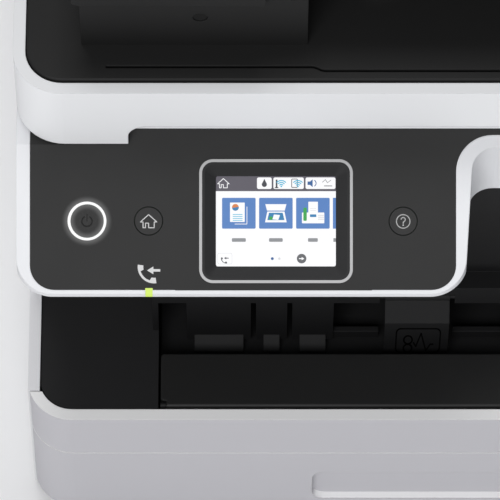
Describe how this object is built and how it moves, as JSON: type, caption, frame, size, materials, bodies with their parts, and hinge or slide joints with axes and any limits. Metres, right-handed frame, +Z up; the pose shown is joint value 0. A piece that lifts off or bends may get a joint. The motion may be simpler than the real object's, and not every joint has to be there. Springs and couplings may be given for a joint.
{
  "type": "inkjet printer",
  "caption": "Desktop inkjet multifunction printer with flatbed scanner, sheet feeder, tilted touch panel, front paper cassette, sliding output tray and ink tanks.",
  "frame": {"origin": "middle of the footprint, on the table surface", "axes": "+X to the right seen from the front, +Y to the back, +Z up"},
  "size_m": [0.375, 0.347, 0.346],
  "materials": {
    "shell_grey": "fine satin texture",
    "body_grey": "fine satin texture",
    "black_plastic": "fine textured",
    "panel_black": "smooth satin",
    "inner_black": "moulded",
    "silver_trim": "satin plated",
    "display": "clear cover over a lit screen",
    "flatbed_glass": "clear",
    "window": "clear smoked",
    "tank": "translucent",
    "light_guide": "milky",
    "green_light": "milky",
    "board": "solder mask",
    "steel": "galvanised",
    "motor": "satin",
    "belt": "matte",
    "rubber": "matte",
    "gear": "acetal",
    "pad": "foam backed sheet"
  },
  "bodies": {
    "chassis": {"base_frame": "black_plastic", "left_side_cover": "body_grey", "right_side_cover": "body_grey", "rear_housing": "body_grey", "case_screws": "steel", "rubber_feet": "rubber", "exit_cover": "inner_black", "front_housing": "shell_grey", "panel_face": "panel_black", "panel_underside": "black_plastic", "screen_ring": "silver_trim", "screen_bezel": "panel_black", "touch_screen": "display", "panel_board": "board", "power_ring_light": "light_guide", "fax_light": "green_light", "carriage_rail": "steel", "drive_belt": "belt", "carriage_motor": "motor", "platen": "inner_black", "feed_motor": "motor", "capping_station": "inner_black", "main_board": "board", "power_supply": "black_plastic", "ink_tank_housing": "shell_grey", "ink_window": "window", "ink_tanks": "tank"},
    "scanner": {"scanner_base": "shell_grey", "scanner_glass": "flatbed_glass"},
    "scan_head": {"scan_carriage": "inner_black"},
    "lid": {"document_cover": "black_plastic", "cover_pad": "pad", "adf_base": "black_plastic"},
    "feeder_cover": {"adf_cover": "black_plastic"},
    "feeder_tray": {"adf_input_tray": "black_plastic"},
    "feeder_guide": {"adf_edge_guide": "black_plastic"},
    "feeder_roller": {"adf_feed_roller": "rubber"},
    "power_key": {"power_button": "panel_black"},
    "home_key": {"home_button": "panel_black"},
    "help_key": {"help_button": "panel_black"},
    "flap": {"jam_flap": "inner_black"},
    "carriage": {"print_carriage": "inner_black"},
    "feed": {"feed_roller": "steel"},
    "exit": {"exit_roller": "rubber"},
    "pinion": {"motor_pinion": "gear"},
    "pinch": {"pinch_rollers": "gear"},
    "caps": {"tank_caps": "black_plastic"},
    "tank_lid": {"ink_tank_cover": "shell_grey"},
    "cassette": {"paper_cassette": "black_plastic", "cassette_front": "body_grey"},
    "left_guide": {"cassette_left_guide": "gear"},
    "right_guide": {"cassette_right_guide": "gear"},
    "end_guide": {"cassette_end_guide": "gear"},
    "arm": {"pickup_arm": "inner_black"},
    "pickup": {"pickup_roller": "rubber"},
    "tray": {"output_tray": "inner_black", "tray_front": "body_grey"},
    "stopper": {"paper_stopper": "black_plastic"},
    "rear_door": {"rear_cover": "body_grey"},
    "waste_box": {"maintenance_box": "black_plastic"}
  },
  "joints": [
    {"name": "scanner_hinge", "type": "hinge", "parent": "chassis", "child": "scanner", "pos_m": [0, 0.162, 0.25], "axis": [-1, 0, 0], "range_deg": [0, 45]},
    {"name": "lid_hinge", "type": "hinge", "parent": "scanner", "child": "lid", "pos_m": [0, 0.163, 0.288], "axis": [-1, 0, 0], "range_deg": [0, 70]},
    {"name": "scan_head_slide", "type": "slide", "parent": "scanner", "child": "scan_head", "axis": [1, 0, 0], "range_m": [0, 0.3]},
    {"name": "feeder_cover_hinge", "type": "hinge", "parent": "lid", "child": "feeder_cover", "pos_m": [-0.1603, 0, 0.321], "axis": [0, -1, 0], "range_deg": [0, 80]},
    {"name": "feeder_tray_hinge", "type": "hinge", "parent": "lid", "child": "feeder_tray", "pos_m": [-0.075, 0, 0.3195], "axis": [0, -1, 0], "range_deg": [0, 55]},
    {"name": "feeder_guide_slide", "type": "slide", "parent": "feeder_tray", "child": "feeder_guide", "axis": [0, 1, 0], "range_m": [0, 0.1]},
    {"name": "feeder_roller_spin", "type": "hinge", "parent": "lid", "child": "feeder_roller", "pos_m": [-0.112, 0, 0.304], "axis": [0, 1, 0], "continuous": true},
    {"name": "power_press", "type": "slide", "parent": "chassis", "child": "power_key", "axis": [0, 0.4695, -0.8829], "range_m": [0, 0.0008], "stiffness_N_per_m": 500},
    {"name": "home_press", "type": "slide", "parent": "chassis", "child": "home_key", "axis": [0, 0.4695, -0.8829], "range_m": [0, 0.0008], "stiffness_N_per_m": 500},
    {"name": "help_press", "type": "slide", "parent": "chassis", "child": "help_key", "axis": [0, 0.4695, -0.8829], "range_m": [0, 0.0008], "stiffness_N_per_m": 500},
    {"name": "flap_hinge", "type": "hinge", "parent": "chassis", "child": "flap", "pos_m": [-0.0198, -0.1275, 0.1205], "axis": [1, 0, 0], "range_deg": [0, 25]},
    {"name": "carriage_slide", "type": "slide", "parent": "chassis", "child": "carriage", "axis": [-1, 0, 0], "range_m": [0, 0.262]},
    {"name": "feed_spin", "type": "hinge", "parent": "chassis", "child": "feed", "pos_m": [0, 0.05, 0.104], "axis": [1, 0, 0], "continuous": true},
    {"name": "exit_spin", "type": "hinge", "parent": "chassis", "child": "exit", "pos_m": [0, -0.046, 0.104], "axis": [1, 0, 0], "continuous": true},
    {"name": "pinion_spin", "type": "hinge", "parent": "chassis", "child": "pinion", "pos_m": [0, 0.002, 0.07926], "axis": [1, 0, 0], "continuous": true},
    {"name": "pinch_spin", "type": "hinge", "parent": "chassis", "child": "pinch", "pos_m": [0, 0.05, 0.1148], "axis": [1, 0, 0], "continuous": true},
    {"name": "caps_hinge", "type": "hinge", "parent": "chassis", "child": "caps", "pos_m": [0.135, -0.1325, 0.132], "axis": [-1, 0, 0], "range_deg": [0, 80]},
    {"name": "tank_lid_hinge", "type": "hinge", "parent": "chassis", "child": "tank_lid", "pos_m": [0.14, -0.127, 0.154], "axis": [-1, 0, 0], "range_deg": [0, 80]},
    {"name": "cassette_slide", "type": "slide", "parent": "chassis", "child": "cassette", "axis": [0, -1, 0], "range_m": [0, 0.26]},
    {"name": "left_guide_slide", "type": "slide", "parent": "cassette", "child": "left_guide", "axis": [1, 0, 0], "range_m": [0, 0.055]},
    {"name": "right_guide_slide", "type": "slide", "parent": "cassette", "child": "right_guide", "axis": [-1, 0, 0], "range_m": [0, 0.055]},
    {"name": "end_guide_slide", "type": "slide", "parent": "cassette", "child": "end_guide", "axis": [0, -1, 0], "range_m": [0, 0.14]},
    {"name": "arm_swing", "type": "hinge", "parent": "chassis", "child": "arm", "pos_m": [-0.025, 0.06, 0.068], "axis": [-1, 0, 0], "range_deg": [0, 18]},
    {"name": "pickup_spin", "type": "hinge", "parent": "arm", "child": "pickup", "pos_m": [-0.02, 0.1, 0.0655], "axis": [1, 0, 0], "continuous": true},
    {"name": "tray_slide", "type": "slide", "parent": "chassis", "child": "tray", "axis": [0, -1, 0], "range_m": [0, 0.15]},
    {"name": "stopper_hinge", "type": "hinge", "parent": "tray", "child": "stopper", "pos_m": [-0.02, -0.1646, 0.0907], "axis": [1, 0, 0], "range_deg": [0, 80]},
    {"name": "rear_door_hinge", "type": "hinge", "parent": "chassis", "child": "rear_door", "pos_m": [-0.02, 0.17, 0.066], "axis": [-1, 0, 0], "range_deg": [0, 80]},
    {"name": "waste_box_slide", "type": "slide", "parent": "chassis", "child": "waste_box", "axis": [0, 1, 0], "range_m": [0, 0.08]}
  ],
  "couplings": [
    {"joint": "exit_spin", "follows": "feed_spin", "ratio": 1},
    {"joint": "pinion_spin", "follows": "feed_spin", "ratio": -3.5},
    {"joint": "pinch_spin", "follows": "feed_spin", "ratio": -1.625},
    {"joint": "right_guide_slide", "follows": "left_guide_slide", "ratio": 1}
  ]
}
